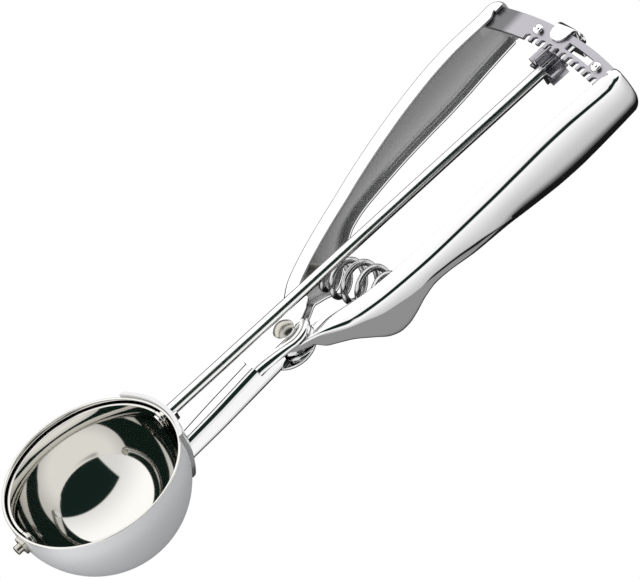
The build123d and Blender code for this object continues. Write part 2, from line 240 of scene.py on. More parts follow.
def steel(name, value, roughness, grain=0.0, dull=None):
    material = bpy.data.materials.new(name)
    material.use_nodes = True
    tree = material.node_tree
    Signal.tree = tree
    shader = tree.nodes["Principled BSDF"]
    shader.inputs["Metallic"].default_value = 1.0
    place = Signal.node("ShaderNodeTexCoord", output="Object")
    cloud = Signal.node(
        "ShaderNodeTexNoise",
        {"Vector": place, "Scale": 55.0, "Detail": 3.0, "Roughness": 0.55},
    )
    level = cloud.ramp(0.3, 0.7, roughness * 0.85, roughness * 1.2)
    shader.inputs["Base Color"].default_value = (*value, 1.0)
    if dull:
        mark = Signal.node("ShaderNodeAttribute", output="Fac", attribute_name="inside")
        level = level * (1.0 - mark) + mark * dull["roughness"]
        colour = Signal.node("ShaderNodeMix", {0: mark, 6: (*value, 1.0), 7: (*dull["value"], 1.0)},
                             output=2, data_type="RGBA")
        tree.links.new(colour.socket, shader.inputs["Base Color"])
        metal = 1.0 - mark * (1.0 - dull["metal"])
        tree.links.new(metal.socket, shader.inputs["Metallic"])
    tree.links.new(level.socket, shader.inputs["Roughness"])
    if grain > 0:
        fine = Signal.node(
            "ShaderNodeTexNoise",
            {"Vector": place, "Scale": 900.0, "Detail": 4.0, "Roughness": 0.6},
        )
        bump = Signal.node(
            "ShaderNodeBump", {"Strength": grain, "Distance": 0.00006, "Height": fine}
        )
        tree.links.new(bump.socket, shader.inputs["Normal"])
    return material


rackColour = (0.40, 0.39, 0.42)
# painted shade: the colour of a dark band on the rack, standing in for a dark reflection near the left handle
paintedShadeColour = (0.10, 0.10, 0.10)
polished = steel("polishedSteel", (0.86, 0.86, 0.86), 0.06,
                 dull={"value": (0.50, 0.50, 0.50), "roughness": 0.38, "metal": 0.7})  # dull inside
bowlSteel = steel("bowlSteel", (0.70, 0.69, 0.66), 0.05,
                  dull={"value": (0.86, 0.87, 0.89), "roughness": 0.40, "metal": 0.3})  # satin outside
rodSteel = steel("rodSteel", (0.84, 0.84, 0.83), 0.17)
wireSteel = steel("wireSteel", (0.60, 0.60, 0.60), 0.16, grain=0.1)
rackSteel = steel("rackSteel", rackColour, 0.28, grain=0.15)
rivetSteel = steel("rivetSteel", (0.52, 0.50, 0.45), 0.26, grain=0.1)

# where the painted shade band lies across the rack's left part, and how strongly it darkens
paintedShadePlace = {"right": -0.0165, "darkRight": -0.0205, "darkLeft": -0.024, "left": -0.0275}  # x, metres
paintedShadeShare = 0.8


# paints shade into a material's colour: darkens it between the given x places, standing in for a dark
# reflection
def addPaintedShade(material):
    tree = material.node_tree
    Signal.tree = tree
    along = Signal.node("ShaderNodeTexCoord", output="Object").split()[0]
    paintedShade = (along.ramp(paintedShadePlace["right"], paintedShadePlace["darkRight"])
              * along.ramp(paintedShadePlace["left"], paintedShadePlace["darkLeft"]))
    colour = Signal.node(
        "ShaderNodeMix",
        {0: paintedShade * paintedShadeShare, 6: (*rackColour, 1.0), 7: (*paintedShadeColour, 1.0)},
        output=2, data_type="RGBA",
    )
    tree.links.new(colour.socket, tree.nodes["Principled BSDF"].inputs["Base Color"])


# the rack gets a painted dark reflection on its left part, near the left handle
addPaintedShade(rackSteel)
print("stage: materials")


# pressed channel sections along a plan path

handleShape = {
    "sheet": 1.0,
    "lowBend": 3.0,
    "noseBend": 0.9,
    "ridge": 1.8,
    "tailFlange": 3.95,
    "tailSpan": (114.5, 117.8),
    "bendSpan": (52, 68),  # where the lower bend opens to its full radius
    "plan": [(5.8, 0.0), (29.6, 30.7), (30.8, 104.7), (30.8, 117.5)],
    "rearCorner": 4.0,
    "tailEnd": 26.0,
    "length": 121.5,
    "depth": [
        (0, 6.1), (2.2, 6.4), (5, 9.2), (8, 10.3), (11.4, 11.7), (16.2, 15.2), (20.5, 18.5),
        (23.2, 19.15), (26, 18.6), (30, 16.4), (34.7, 13.2), (39.5, 11.3), (44, 11.0), (53, 11.75),
        (65.5, 13.0), (78, 14.5), (88, 15.6), (97, 16.0), (117.5, 16.0), (119, 15.75), (120.2, 15.2),
        (121.5, 14.0),
    ],
    "fixedTop": [
        (0, 0), (30, 0), (40, 0.15), (51, 0.95), (64, 1.85), (76, 2.55), (89, 2.9), (98, 2.6),
        (106, 1.8), (112, 1.05), (115.5, 0.8), (122, 0.8),
    ],
    "movingTop": [
        (0, -2.5), (12, -2.5), (20, -2.25), (30, -1.35), (40, -0.3), (51, 0.75), (64, 1.65),
        (76, 2.35), (89, 2.7), (98, 2.4), (106, 1.6), (112, 0.85), (115.5, 0.6), (122, 0.6),
    ],
}
nosePoints = 40


def knotCurve(knots, y):
    knots = np.array(knots, float)
    x, d = knots[:, 0], knots[:, 1]
    rise = np.diff(d) / np.diff(x)
    slope = np.zeros(len(x))
    same = rise[:-1] * rise[1:] > 0
    slope[1:-1] = np.where(same, 2 * rise[:-1] * rise[1:] / np.where(same, rise[:-1] + rise[1:], 1), 0)
    slope[-1] = rise[-1]
    y = np.clip(y, x[0], x[-1])
    i = np.clip(np.searchsorted(x, y) - 1, 0, len(x) - 2)
    h = x[i + 1] - x[i]
    t = (y - x[i]) / h
    return (
        (2 * t**3 - 3 * t**2 + 1) * d[i]
        + (t**3 - 2 * t**2 + t) * h * slope[i]
        + (3 * t**2 - 2 * t**3) * d[i + 1]
        + (t**3 - t**2) * h * slope[i + 1]
    )


def depthAt(y):
    return knotCurve(handleShape["depth"], y)


def bezierPoint(t):
    a, b, c, d = (np.array(p) for p in handleShape["plan"])
    return (1 - t) ** 3 * a + 3 * t * (1 - t) ** 2 * b + 3 * t * t * (1 - t) * c + t**3 * d


def hermite(p, m, q, n, count):
    t = np.linspace(0, 1, count)[:, None]
    return (
        (2 * t**3 - 3 * t**2 + 1) * p
        + (t**3 - 2 * t**2 + t) * m
        + (3 * t**2 - 2 * t**3) * q
        + (t**3 - t**2) * n
    )


def planPath(radius, startAngle, leaveAngle, joinAt):
    nose = np.array(arc((0, 0), radius, startAngle, leaveAngle, nosePoints))
    a = radians(leaveAngle)
    join = bezierPoint(joinAt)
    way = bezierPoint(joinAt + 0.001) - join
    way /= np.linalg.norm(way)
    span = np.linalg.norm(join - nose[-1])
    bridge = hermite(nose[-1], np.array([-sin(a), cos(a)]) * span, join, way * span, 16)
    side = np.array([bezierPoint(t) for t in np.linspace(joinAt, 1, 150)])
    rear, length = handleShape["rearCorner"], handleShape["length"]
    centre = (handleShape["plan"][-1][0] - rear, length - rear)
    corner = np.array(arc(centre, rear, 0, 90, 16))
    end = np.array([[handleShape["tailEnd"], length]])
    return np.concatenate([nose, bridge[1:], side[1:], corner[1:], end])


def alongHandle(path):
    return np.where(np.arange(len(path)) < nosePoints, 0, path[:, 1])


def inwardNormals(path):
    way = np.gradient(path, axis=0)
    way /= np.linalg.norm(way, axis=1)[:, None]
    return np.stack([-way[:, 1], way[:, 0]], -1)


def bendPoints(centre, radius, start, stop, count):
    return arc(centre, max(radius, 1e-3), start, stop, count)


def bentRun(arcs):
    points, x, z = [], 0.0, 0.0
    for radius, start, stop, count in arcs:
        for a in np.radians(np.linspace(start, stop, count))[1:]:
            points.append((x - radius * (sin(a) - sin(radians(start))),
                           z - radius * (cos(radians(start)) - cos(a))))
        x, z = points[-1]
    return points


sectionShape = {
    "edge": 0.28,  # radius of the flanges' edges
    "crownStart": 24,  # degrees, on a fully domed top
    "crownEnd": 33,
    "wallLean": 7,  # degrees inward, below the ridge
    "plainTop": 1.2,
    "tuckDepth": 1.3,
    "tuckAngle": 28,
    "tuckBend": 1.5,
    "tuckRelease": 0.6,
    "innerBend": 2.0,
}


def channelSection(top, low, flange, topBend, lowBend, lowFlange, sway, tuck):
    shape = sectionShape
    sheet, edge = handleShape["sheet"], shape["edge"]
    first, dome = shape["crownStart"] * sway, shape["crownEnd"] * sway + 0.01
    steep, last = 90 - shape["wallLean"] * sway, 90 - tuck["rest"] * sway - 0.01
    small = topBend * (1 - sway) + handleShape["ridge"] * sway
    crown = sin(radians(dome)) - sin(radians(first))
    domeRadius = max((flange - shape["plainTop"] - small * 0.5) / crown * sway, 0.01)
    arcs = [(domeRadius, first, dome, 7), (small, dome, steep, 13)]
    head = bentRun(arcs)
    room = (top + head[-1][1]) - (low + lowBend)
    share = room * (1 - tuck["share"]) - shape["tuckDepth"] * tuck["turn"]
    wall = share / (cos(radians(steep)) - cos(radians(last)) + 1e-9) if sway > 0.02 else 0
    if wall:
        angle = last + shape["tuckAngle"] * tuck["turn"]
        arcs += [(wall, steep, last, 11), (shape["tuckBend"], last, angle, 6)]
        run = bentRun(arcs + [(-shape["tuckRelease"], angle, 90, 4)])
    else:
        x, z = head[-1]
        drops = (low + lowBend - top - z) * np.linspace(0, 1, 19)[:-1]
        run = head + [(x, z + drop) for drop in drops]
    run = np.array(run)
    shift = -run[:, 0].min()
    run = run + [shift, top]
    x, z = run[-1]
    outer = [(flange - edge, top), (max(shift, 0.05), top)] + [tuple(v) for v in run]
    outer += [(x, z + (low + lowBend - z) * f) for f in (0.25, 0.5, 0.75)]
    outer += bendPoints((x + lowBend, low + lowBend), lowBend, 180, 270, 12)
    outer += [(max(lowFlange - edge, x + lowBend + 0.05), low)]
    outer += bendPoints((lowFlange - edge, low + edge), edge, 270, 360, 3)
    outer += bendPoints((lowFlange - edge, low + sheet - edge), edge, 0, 90, 3)
    innerTop = min(max(run[:12, 0].max() - sheet, 0.25), shape["innerBend"])
    innerLow = max(lowBend - sheet, 0.25)
    wallIn = x + sheet
    ceiling = top - sheet + head[5][1]
    inner = bendPoints((wallIn + innerLow, low + sheet + innerLow), innerLow, 270, 180, 6)
    inner += [(wallIn, (low + top) / 2)]
    inner += bendPoints((wallIn + innerTop, ceiling - innerTop), innerTop, 180, 90, 8)
    inner += bendPoints((flange - edge, top - sheet + edge), edge, 270, 360, 3)
    inner += bendPoints((flange - edge, top - edge), edge, 0, 90, 3)[:-1]
    return np.array(outer + inner), len(outer)


def channelMesh(name, path, tops, lows, flanges, topBends, lowFlanges, lowBends, sways, tucks):
    normals = inwardNormals(path)
    rings = []
    for i, (point, inward) in enumerate(zip(path, normals)):
        section, outside = channelSection(
            tops[i], lows[i], flanges[i], topBends[i], lowBends[i], lowFlanges[i], sways[i], tucks[i]
        )
        xy = point + section[:, :1] * inward
        rings.append(np.column_stack([xy, section[:, 1]]))
    hidden = (np.arange(len(section)) >= outside).astype(float)
    return ringsMesh(name, toRow(np.array(rings)), inside=np.tile(hidden, len(rings)))


def tailFlange(path, width):
    near = smoothStep(*handleShape["tailSpan"], path[:, 1])
    return width + (np.minimum(width, handleShape["tailFlange"]) - width) * near


def lowBendAt(along):
    nose = handleShape["noseBend"]
    return nose + (handleShape["lowBend"] - nose) * smoothStep(*handleShape["bendSpan"], along)


tuckShape = {
    "noseShare": 0.86,  # of the wall's height, below its leaning arc
    "shareDrop": 0.14,
    "dropSpan": (12, 26),
    "fadeSpan": (24, 44),
    "backShare": 0.2,
    "backSpan": (50, 66),
    "turnIn": (34, 42),
    "turnOut": (56, 68),
    "rest": 2.5,  # degrees short of upright where that arc ends
    "restDrop": 3.1,
    "restSpan": (56, 74),
    "plain": 90.0,  # a place along the handle without a tuck
}


def tucksAt(along):
    shape = tuckShape
    middle = smoothStep(*shape["fadeSpan"], along)
    share = (shape["noseShare"] - shape["shareDrop"] * smoothStep(*shape["dropSpan"], along)) * (1 - middle)
    share = share + shape["backShare"] * middle * (1 - smoothStep(*shape["backSpan"], along))
    turn = smoothStep(*shape["turnIn"], along) * (1 - smoothStep(*shape["turnOut"], along))
    rest = shape["rest"] - shape["restDrop"] * smoothStep(*shape["restSpan"], along)
    return [{"share": a, "turn": b, "rest": c} for a, b, c in zip(share, turn, rest)]


def plainTucks(count):
    return tucksAt(np.full(count, tuckShape["plain"]))


movingShape = {
    "nose": (6.3, -170, -18, 0.08),  # radius, first and last angle, where the plan curve takes over
    "flange": 4.3,
    "flangeGain": 0.9,
    "flangeSpan": (0, 9),
    "bendGain": 0.8,
    "bendSpan": (4, 20),
    "lowCut": 3.0,  # taken off the bottom flange just behind the nose
    "cutIn": (-1, 2),
    "cutOut": (11, 16),
    "lowGain": 2.0,
    "lowSpan": (8, 18),
    "crownSpan": (3, 14),
}


def movingHandleMesh():
    shape = movingShape
    path = planPath(*shape["nose"])
    along = alongHandle(path)
    cut = shape["lowCut"] * smoothStep(*shape["cutIn"], along) * (1 - smoothStep(*shape["cutOut"], along))
    return channelMesh(
        "movingHandle",
        path,
        knotCurve(handleShape["movingTop"], along),
        -depthAt(along),
        tailFlange(path, shape["flange"] + shape["flangeGain"] * smoothStep(*shape["flangeSpan"], along)),
        handleShape["noseBend"] + shape["bendGain"] * smoothStep(*shape["bendSpan"], along),
        tailFlange(path, shape["flange"] - cut + shape["lowGain"] * smoothStep(*shape["lowSpan"], along)),
        lowBendAt(along),
        smoothStep(*shape["crownSpan"], along),
        tucksAt(along),
    )


makePiece("movingHandle", [movingHandleMesh()], polished, "lever", ["moving_handle"])

fixedShape = {
    "nose": (7.6, -52, 12, 0.12),
    "flange": 5.0,
    "flangeGain": 0.2,
    "flangeSpan": (0, 12),
    "bend": 1.6,
    "bendDrop": 0.4,
    "bendSpan": (4, 20),
    "lowDrop": 1.4,
    "lowSpan": (6, 30),
    "lowBend": 2.4,
    "leastDepth": 7.8,
}


def fixedHandleMesh():
    shape = fixedShape
    path = planPath(*shape["nose"])
    along = alongHandle(path)
    return mirrorMesh(channelMesh(
        "fixedHandle",
        path,
        knotCurve(handleShape["fixedTop"], along),
        -np.maximum(depthAt(along), shape["leastDepth"]),
        tailFlange(path, shape["flange"] + shape["flangeGain"] * smoothStep(*shape["flangeSpan"], along)),
        shape["bend"] - shape["bendDrop"] * smoothStep(*shape["bendSpan"], along),
        tailFlange(path, shape["flange"] - shape["lowDrop"] * smoothStep(*shape["lowSpan"], along)),
        np.minimum(lowBendAt(along), shape["lowBend"]),
        np.zeros(len(along)),
        plainTucks(len(along)),
    ))


def cutMesh(mesh, cutter):
    body, tool = bpy.data.objects.new("cutBody", mesh), bpy.data.objects.new("cutTool", cutter)
    bpy.context.scene.collection.objects.link(body)
    bpy.context.scene.collection.objects.link(tool)
    change = body.modifiers.new("cut", "BOOLEAN")
    change.operation, change.solver, change.object = "DIFFERENCE", "EXACT", tool
    bpy.context.view_layer.update()
    result = bpy.data.meshes.new_from_object(body.evaluated_get(bpy.context.evaluated_depsgraph_get()))
    bpy.data.objects.remove(body)
    bpy.data.objects.remove(tool)
    return cleanMesh(result)


windowShape = {
    "inner": 114.9,
    "outer": 123.65,
    "right": -25.2,
    "left": -40.0,
    "middle": -1.13,
    "tall": 1.76,
}


def ringSide(radius, start, stop):
    return [(x, sqrt(radius**2 - x * x)) for x in np.linspace(start, stop, 12)]


def windowMesh():
    shape = windowShape
    outline = ringSide(shape["outer"], shape["left"], shape["right"])
    outline += ringSide(shape["inner"], shape["right"], shape["left"])
    return plateMesh("window", [outline], shape["tall"], 0.0, shifted(0, 0, shape["middle"]), rounds=0)


earShape = {
    "radius": 7.6,
    "plateRadius": 5.4,
    "start": -20,  # degrees, of the round part
    "stop": 62,
    "rim": 2.3,
    "flange": 2.6,
    "bend": 1.3,
    "neckGain": 1.2,  # wider flange and bend toward the shank
    "hole": 1.95,
    "middle": -0.55,
    "lowRadius": 8.2,
    "lowOffset": -1.6,
    "lowMiddle": -7.33,
}


def earMeshes():
    shape = earShape
    neck = hermite(
        np.array([4.4, -15.0]), np.array([0.0, 8.0]), np.array([7.1, -2.7]), np.array([3.0, 8.2]), 14
    )
    roundPart = arc((0, 0), shape["radius"], shape["start"], shape["stop"], 22)
    path = np.concatenate([neck, np.array(roundPart)[1:]])
    count = len(path)
    gain = shape["neckGain"] * (1 - smoothStep(0, 14, np.arange(count)))
    rim = channelMesh(
        "earRim", path, np.full(count, 0.01), np.full(count, -shape["rim"]),
        shape["flange"] + gain, shape["bend"] + gain, np.full(count, 1.05), np.full(count, 0.3),
        np.zeros(count), plainTucks(count),
    )
    outline = [(-3.0, -15.0), (2.2, -15.0), (3.2, -8.0)]
    outline += arc((0, 0), shape["plateRadius"], shape["start"], shape["stop"], 12)
    outline += [(0.5, 9.0), (-2.0, 12.0), (-5.5, 12.0), (-6.5, 4.0), (-6.2, -3.5), (-4.0, -8.0)]
    hole = arc((0, 0), shape["hole"], 360, 12, 32)
    plate = plateMesh("earPlate", [outline, hole], 0.98, 0.05, shifted(0, 0, shape["middle"]))
    lowOutline = arc((0, shape["lowOffset"]), shape["lowRadius"], 0, 354, 60)
    low = plateMesh("earLow", [lowOutline, hole], 1.0, 0.2, shifted(0, 0, shape["lowMiddle"]))
    return [rim, plate, low]


shankShape = {
    "half": 4.1,
    "taper": 0.5,
    "taperSpan": (-30, -50),
    "tall": 7.7,
    "tipTall": 6.0,
    "start": -6.0,
    "stop": -52.0,
    "endRadius": 27.6,  # ends on this ball, inside the bowl's wall
    "endPlace": -71.41,
    "endHeight": 14.07,
}


def shankSection(half, tall):
    side = [(0.01, 0.0)] + bentRun([(2.6, 0, 66, 12), (13, 66, 88, 14), (1.0, 88, 178, 9)])
    side = np.array(side) * [-1, 1]
    flat = half - side[:, 0].max()
    side = side * [1, tall / -side[:, 1].min()] + [flat, -0.03]
    return np.concatenate([side, side[::-1] * [-1, 1]])


def shankMesh():
    shape = shankShape
    rings = []
    for y in np.linspace(shape["start"], shape["stop"], 60):
        half = shape["half"] - shape["taper"] * float(smoothStep(*shape["taperSpan"], y))
        tall = shape["tall"] + (shape["tipTall"] - shape["tall"]) * y / shape["stop"]
        x, z = shankSection(half, tall).T
        reach = np.maximum(shape["endRadius"] ** 2 - (z - shape["endHeight"]) ** 2 - x**2, 0)
        rings.append(np.column_stack([x, np.maximum(y, np.sqrt(reach) + shape["endPlace"]), z]))
    return ringsMesh("shank", toRow(np.array(rings)))


saddleShape = {
    "top": 1.0,
    "tall": 24.5,
    "half": 15.0,
    "outer": 29.2,
    "inner": 28.0,
    "columns": 48,
    "dullShare": 0.55,
}


def roundPoint(radius, across, height):
    drop = np.maximum(-(height + spindleDrop), 0)
    ring = np.sqrt(np.maximum(radius**2 - drop**2, 0))
    y = np.sqrt(np.maximum(ring**2 - across**2, 0))
    return np.stack([across, y, height], -1)


def saddleMesh():
    shape = saddleShape
    columns = shape["columns"]
    rings = []
    for f in np.linspace(0, 1, 50):
        height = np.full(columns, shape["top"] - shape["tall"] * f)
        half = shape["half"] * sqrt(max(1 - smoothStep(0.45, 1.0, f) ** 2 * 0.999, 0)) + 0.05
        across = np.linspace(-half, half, columns)
        outer = roundPoint(shape["outer"], across, height)
        inner = roundPoint(shape["inner"], across[::-1], height)
        rings.append(np.concatenate([outer, inner]))
    marks = np.full(len(rings) * 2 * columns, shape["dullShare"])
    return ringsMesh("saddle", toRow(inBowl(np.array(rings))), inside=marks)


makePiece(
    "fixedHandle",
    [cutMesh(fixedHandleMesh(), windowMesh()), *earMeshes(), shankMesh(), saddleMesh()],
    polished, "frame", ["fixed_handle"],
)

# bowl

bowlShape = {"outer": 28.0, "inner": 27.2, "lip": 0.3, "wallPoints": 6, "ballPoints": 60}


def bowlProfile():
    outer, inner, lip = bowlShape["outer"], bowlShape["inner"], bowlShape["lip"]
    wallPoints, ballPoints = bowlShape["wallPoints"], bowlShape["ballPoints"]
    down, turns = np.linspace(0.12, 1, wallPoints), np.linspace(0.02, pi / 2, ballPoints)
    back, up = np.linspace(pi / 2, 0.02, ballPoints), np.linspace(1, 0.12, wallPoints)
    points = [(outer, -spindleDrop * s) for s in down]
    points += [(outer * cos(a), -spindleDrop - outer * sin(a)) for a in turns]
    points += [(inner * cos(a), -spindleDrop - inner * sin(a)) for a in back]
    points += [(inner, -spindleDrop * s) for s in up]
    points += [(inner + lip - lip * cos(a), -lip + lip * sin(a)) for a in np.linspace(0.2, pi / 2, 5)]
    points += [(outer - lip + lip * sin(a), -lip + lip * cos(a)) for a in np.linspace(0, pi / 2 - 0.2, 5)]
    return points


def bowlMesh():
    profile = bowlProfile()
    satin = np.arange(len(profile)) < bowlShape["wallPoints"] + bowlShape["ballPoints"]
    return latheMesh("bowl", profile, 192, inBowl, satin.astype(float))


makePiece("bowl", [bowlMesh()], bowlSteel, "frame", ["bowl"])

# spindle and what turns with it

wiperShape = {"width": 5.6, "thick": 0.8, "soft": 0.25, "rest": radians(2.5), "eye": 3.0, "gap": 0.45}
spindleShape = {
    "head": 2.1,
    "headBack": 0.75,
    "journal": 1.3,
    "radius": 1.9,
    "corner": 0.15,
    "tailStart": 195.3,
    "tailEnd": 199.6,
}
pinShape = {"radius": 1.45, "front": -31.1}
eyeSlack = 0.05
eyeOuter = sqrt((bowlShape["inner"] - wiperShape["gap"]) ** 2 - (wiperShape["width"] / 2) ** 2)
eyeInner = sqrt((eyeOuter - wiperShape["thick"]) ** 2 - spindleShape["head"] ** 2)
nearEye, farEye = eyeInner - eyeSlack, eyeOuter + eyeSlack


def rodProfile(steps):
    corner, points = spindleShape["corner"], []
    for r0, z0, z1 in steps:
        points += [(r0 - corner, z0), (r0, z0 + corner), (r0, z1 - corner), (r0 - corner, z1)]
    return [(0.0, steps[0][1])] + points + [(0.0, steps[-1][2])]


spindleSteps = [
    (spindleShape["head"], eyeInner - spindleShape["headBack"], nearEye),
    (spindleShape["journal"], nearEye, farEye),
    (spindleShape["radius"], farEye, spindleShape["tailStart"]),
    (spindleShape["journal"], spindleShape["tailStart"], spindleShape["tailEnd"]),
]
rod = latheMesh("spindle", rodProfile(spindleSteps), 64, onSpindle)
makePiece("spindle", [rod], rodSteel, "sweep", ["spindle_rod"])

pinSteps = [
    (pinShape["radius"], pinShape["front"], -farEye),
    (spindleShape["journal"], -farEye, -nearEye),
    (spindleShape["head"], -nearEye, spindleShape["headBack"] - eyeInner),
]
pin = latheMesh("frontPin", rodProfile(pinSteps), 48, onSpindle)
makePiece("frontPin", [pin], rivetSteel, "sweep", ["front_pin"])


def inWiper(points):
    p = np.asarray(points, float)
    a = wiperShape["rest"]
    x = p[..., 0] * cos(a) - p[..., 2] * sin(a)
    z = p[..., 0] * sin(a) + p[..., 2] * cos(a)
    return inBowl(np.stack([x, p[..., 1], z - spindleDrop], -1))


def bandMesh():
    thick, half, soft = wiperShape["thick"], wiperShape["width"] / 2, wiperShape["soft"]
    inner, outer = eyeOuter - (thick - soft), eyeOuter - soft
    r, z = np.array(softBox(inner, outer, soft - half, half - soft, soft, 3)).T
    turns = np.radians(np.linspace(90, 270, 97))
    rings = [np.column_stack([r * cos(a), r * sin(a), z]) for a in turns]
    return ringsMesh("band", toRow(inWiper(np.array(rings))))


def eyeMesh(side):
    thick = wiperShape["thick"]
    outline = arc((0, 0), wiperShape["eye"], 0, 354, 60)
    away = side * (eyeOuter - thick / 2)
    return plateMesh("eye", [outline], thick, 0.15, lambda p: inWiper(
        np.stack([p[:, 0], p[:, 2] + away, p[:, 1]], -1)))


wiperMeshes = [bandMesh()] + [eyeMesh(side) for side in (-1, 1)]
makePiece("wiper", wiperMeshes, bowlSteel, "sweep", ["wiper_blade"])

# rivet

rivetShape = {
    "head": 3.5,
    "headTall": 1.8,
    "shank": 1.9,
    "seat": -0.02,
    "tail": 3.2,
    "tailTop": -7.8,
    "tailLow": -8.7,
    "offset": (-0.25, -0.15, 0),
}


def rivetMesh():
    shape = rivetShape
    head, tall, tail = shape["head"], shape["headTall"], shape["tail"]
    ball = (head**2 + tall**2) / (2 * tall)
    turns = np.linspace(0, np.arcsin(head / ball), 18)
    profile = [(ball * sin(a), tall - ball + ball * cos(a)) for a in turns]
    profile += [(head, shape["seat"]), (shape["shank"], shape["seat"]), (shape["shank"], shape["tailTop"])]
    profile += [(tail, shape["tailTop"]), (tail, shape["tailLow"] + 0.4)]
    profile += [(tail - 0.5, shape["tailLow"]), (0, shape["tailLow"])]
    return latheMesh("rivet", profile, 64, shifted(*shape["offset"]))


makePiece("pivotRivet", [rivetMesh()], rivetSteel, "frame", ["pivot_rivet"])

# rack, pinion and clip

rackShape = {
    "inner": 115.3,
    "root": 117.4,
    "outer": 123.2,
    "left": -29.2,
    "right": 28.4,
    "cornerStart": 25.6,
    "step": 45 * 4.2 / 116.7,  # degrees of the rack for one pinion tooth
    "notch": 2.05,
    "notches": range(7, -4, -1),
    "thick": 1.2,
    "middle": -1.0,
}
slotShape = {"circle": 119.6, "half": 1.2, "start": 5.2, "stop": 17.6}


def rackOutline():
    shape = rackShape
    inner, root, outer = shape["inner"], shape["root"], shape["outer"]
    left, right = shape["left"], shape["right"]
    start = np.degrees(np.arcsin(left / outer))
    stop = np.degrees(np.arcsin(shape["cornerStart"] / outer))
    points = [(outer * sin(a), outer * cos(a)) for a in np.radians(np.linspace(start, stop, 40))]
    points += [(27.6, 117.4), (right, 116.0), (right, sqrt(inner**2 - right**2))]
    edge = shape["notch"] / 2 / root
    for index in shape["notches"]:
        centre = radians(index * shape["step"])
        for sign in (1, -1):
            a = centre + sign * edge
            soft = centre + sign * edge * 0.5
            ordered = [(inner, a), (root - 0.5, a), (root, soft)]
            for r, b in ordered if sign == 1 else ordered[::-1]:
                points.append((r * sin(b), r * cos(b)))
    start, stop = -4.4 * shape["step"], np.degrees(np.arcsin(left / inner))
    points += [(inner * sin(a), inner * cos(a)) for a in np.radians(np.linspace(start, stop, 20))]
    return points


def slotOutline():
    circle, half = slotShape["circle"], slotShape["half"]
    start, stop = slotShape["start"] / circle, slotShape["stop"] / circle
    far, near = circle + half, circle - half
    points = [(far * sin(a), far * cos(a)) for a in np.linspace(start, stop, 14)]
    points += [(near * sin(a), near * cos(a)) for a in np.linspace(stop, start, 14)]
    return points


rack = plateMesh("rack", [rackOutline(), slotOutline()], rackShape["thick"], 0.12,
                 shifted(0, 0, rackShape["middle"]))
makePiece("rackPlate", [rack], rackSteel, "lever", ["rack_plate"])

studShape = {"neck": 1.05, "round": 0.75, "radius": 1.8, "foot": -1.2, "height": 0.8, "places": (-7.9, 20.8)}


def studMesh(x):
    shape = studShape
    neck, soft = shape["neck"], shape["round"]
    profile = [(0, 0.3), (0.6, 0.28), (0.85, 0.05), (neck, 0.2)]
    profile += [(neck + soft * sin(a), -0.55 + soft * cos(a)) for a in np.linspace(0.0, pi / 2, 8)]
    profile += [(shape["radius"], shape["foot"]), (0, shape["foot"])]
    return latheMesh("stud", profile, 40, shifted(x, sqrt(slotShape["circle"] ** 2 - x * x), shape["height"]))


studs = [studMesh(x) for x in studShape["places"]]
makePiece("stopStuds", studs, polished, "lever", ["stop_studs"])

pinionShape = {
    "teeth": 8,
    "flank": [(2.9, 0.37), (4.2, 0.13), (5.35, 0.075), (5.5, 0.04)],  # radius, half angle
    "long": 6.5,
    "place": 185.65,
}


def pinionMesh():
    shape = pinionShape
    tooth = shape["flank"] + [(radius, -offset) for radius, offset in reversed(shape["flank"])]
    outline = []
    for index in range(shape["teeth"]):
        base = radians(90 - index * 360 / shape["teeth"])
        outline += [(radius * cos(base + offset), radius * sin(base + offset)) for radius, offset in tooth]
    return plateMesh("pinion", [outline], shape["long"], 0.12, alongSpindle(shape["place"]))


makePiece("pinion", [pinionMesh()], rackSteel, "sweep", ["pinion"])

clipShape = {
    "thick": 0.8,
    "half": 3.4,
    "soft": 0.2,
    "front": 117.2 + 1.6,
    "back": 125.4 - 2.0,
    "level": 0.2,
    "bend": 1.6,
    "bendHeight": -1.4,
    "foot": (123.15, -11.2),
}


def clipLine():
    shape = clipShape
    corner = np.array([shape["back"], shape["bendHeight"]])
    line = [np.array([shape["front"], shape["level"]]), np.array([shape["back"], shape["level"]])]
    line += [corner + shape["bend"] * np.array([sin(a), cos(a)]) for a in np.linspace(0.1, pi / 2 + 0.15, 10)]
    line.append(np.array(shape["foot"]))
    fine = []
    for a, b in zip(line[:-1], line[1:]):
        fine += [a + (b - a) * t for t in np.linspace(0, 1, 8)[:-1]]
    return np.array(fine + [line[-1]])


def clipMesh():
    line = clipLine()
    gone = np.concatenate([[0], np.cumsum(np.linalg.norm(np.diff(line, axis=0), axis=1))])
    soft, middle = clipShape["soft"], clipShape["thick"] / 2
    rings = []
    for point, normal, far in zip(line, inwardNormals(line), gone):
        half = clipShape["half"] * sqrt(1 - max(1 - (far + 0.25) / clipShape["half"], 0) ** 2)  # round tip
        section = np.array(softBox(soft - half, half - soft, soft - middle, middle - soft, soft, 3))
        rings.append(np.column_stack([section[:, 0], point + section[:, 1:] * normal]))
    return ringsMesh("clip", toRow(np.array(rings)))


makePiece("guideClip", [clipMesh()], polished, "frame", ["guide_clip"])

# spring


